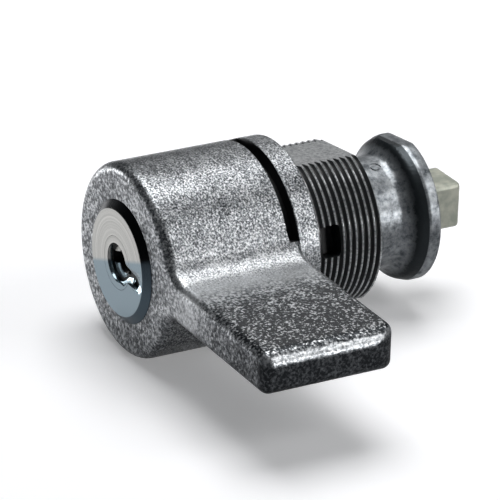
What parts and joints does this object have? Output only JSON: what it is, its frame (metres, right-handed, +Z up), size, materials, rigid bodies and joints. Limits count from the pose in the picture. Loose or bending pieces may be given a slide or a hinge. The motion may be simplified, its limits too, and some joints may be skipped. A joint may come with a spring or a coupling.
{
  "type": "enclosure handle lock",
  "caption": "Die-cast wing handle with a keyed wafer cylinder, for an enclosure door, with a flat-sided threaded barrel and a square spindle for a cam",
  "frame": {"origin": "on the lock axis, at the rear face of the flange ring, which seats on the door", "axes": "+Y runs rearwards along the lock axis into the door, +X points along the wing, +Z is up; the key goes in from -Y"},
  "size_m": [0.055, 0.0538, 0.028],
  "materials": {
    "hammered_paint": "silver hammered powder coat on zinc die-casting",
    "housing_zinc": "zinc die-casting, powder coated on the ring and bare on the thread and neck",
    "passivated_steel": "yellow passivated",
    "black_steel": "black phosphated",
    "zinc_steel": "zinc plated",
    "seal_rubber": "black rubber",
    "lock_plate": "nickel plated, turned",
    "wafer_brass": "plain brass"
  },
  "bodies": {
    "housing": {"housing": "housing_zinc", "spindle_key": "black_steel"},
    "handle": {"handle": "hammered_paint", "spindle": "passivated_steel", "spindle_screw": "zinc_steel", "spindle_seal": "seal_rubber", "lock_body": "lock_plate", "lock_body_pin": "zinc_steel"},
    "core": {"lock_core": "lock_plate", "retaining_wafer": "wafer_brass", "wafer_spring_1": "zinc_steel", "wafer_spring_2": "zinc_steel", "wafer_spring_3": "zinc_steel", "wafer_spring_4": "zinc_steel", "wafer_spring_5": "zinc_steel"},
    "bolt": {"locking_bolt": "zinc_steel"},
    "wafer_1": {"wafer_1": "wafer_brass"},
    "wafer_2": {"wafer_2": "wafer_brass"},
    "wafer_3": {"wafer_3": "wafer_brass"},
    "wafer_4": {"wafer_4": "wafer_brass"},
    "wafer_5": {"wafer_5": "wafer_brass"}
  },
  "joints": [
    {"name": "handle_turn", "type": "hinge", "parent": "housing", "child": "handle", "pos_m": [0, 0, 0], "axis": [0, -1, 0], "range_deg": [0, 90]},
    {"name": "core_turn", "type": "hinge", "parent": "handle", "child": "core", "pos_m": [0, 0, 0], "axis": [0, -1, 0], "range_deg": [0, 90]},
    {"name": "bolt_slide", "type": "slide", "parent": "handle", "child": "bolt", "axis": [0, 0, 1], "range_m": [0, 0.00156]},
    {"name": "wafer_1_slide", "type": "slide", "parent": "core", "child": "wafer_1", "axis": [1, 0, 0], "range_m": [0, 0.0006]},
    {"name": "wafer_2_slide", "type": "slide", "parent": "core", "child": "wafer_2", "axis": [1, 0, 0], "range_m": [0, 0.0006]},
    {"name": "wafer_3_slide", "type": "slide", "parent": "core", "child": "wafer_3", "axis": [1, 0, 0], "range_m": [0, 0.0006]},
    {"name": "wafer_4_slide", "type": "slide", "parent": "core", "child": "wafer_4", "axis": [1, 0, 0], "range_m": [0, 0.0006]},
    {"name": "wafer_5_slide", "type": "slide", "parent": "core", "child": "wafer_5", "axis": [1, 0, 0], "range_m": [0, 0.0006]}
  ],
  "couplings": [
    {"joint": "core_turn", "follows": "bolt_slide", "rad_per_m": 1009.7},
    {"joint": "wafer_2_slide", "follows": "wafer_1_slide", "ratio": 1},
    {"joint": "wafer_3_slide", "follows": "wafer_1_slide", "ratio": 1},
    {"joint": "wafer_4_slide", "follows": "wafer_1_slide", "ratio": 1},
    {"joint": "wafer_5_slide", "follows": "wafer_1_slide", "ratio": 1}
  ]
}
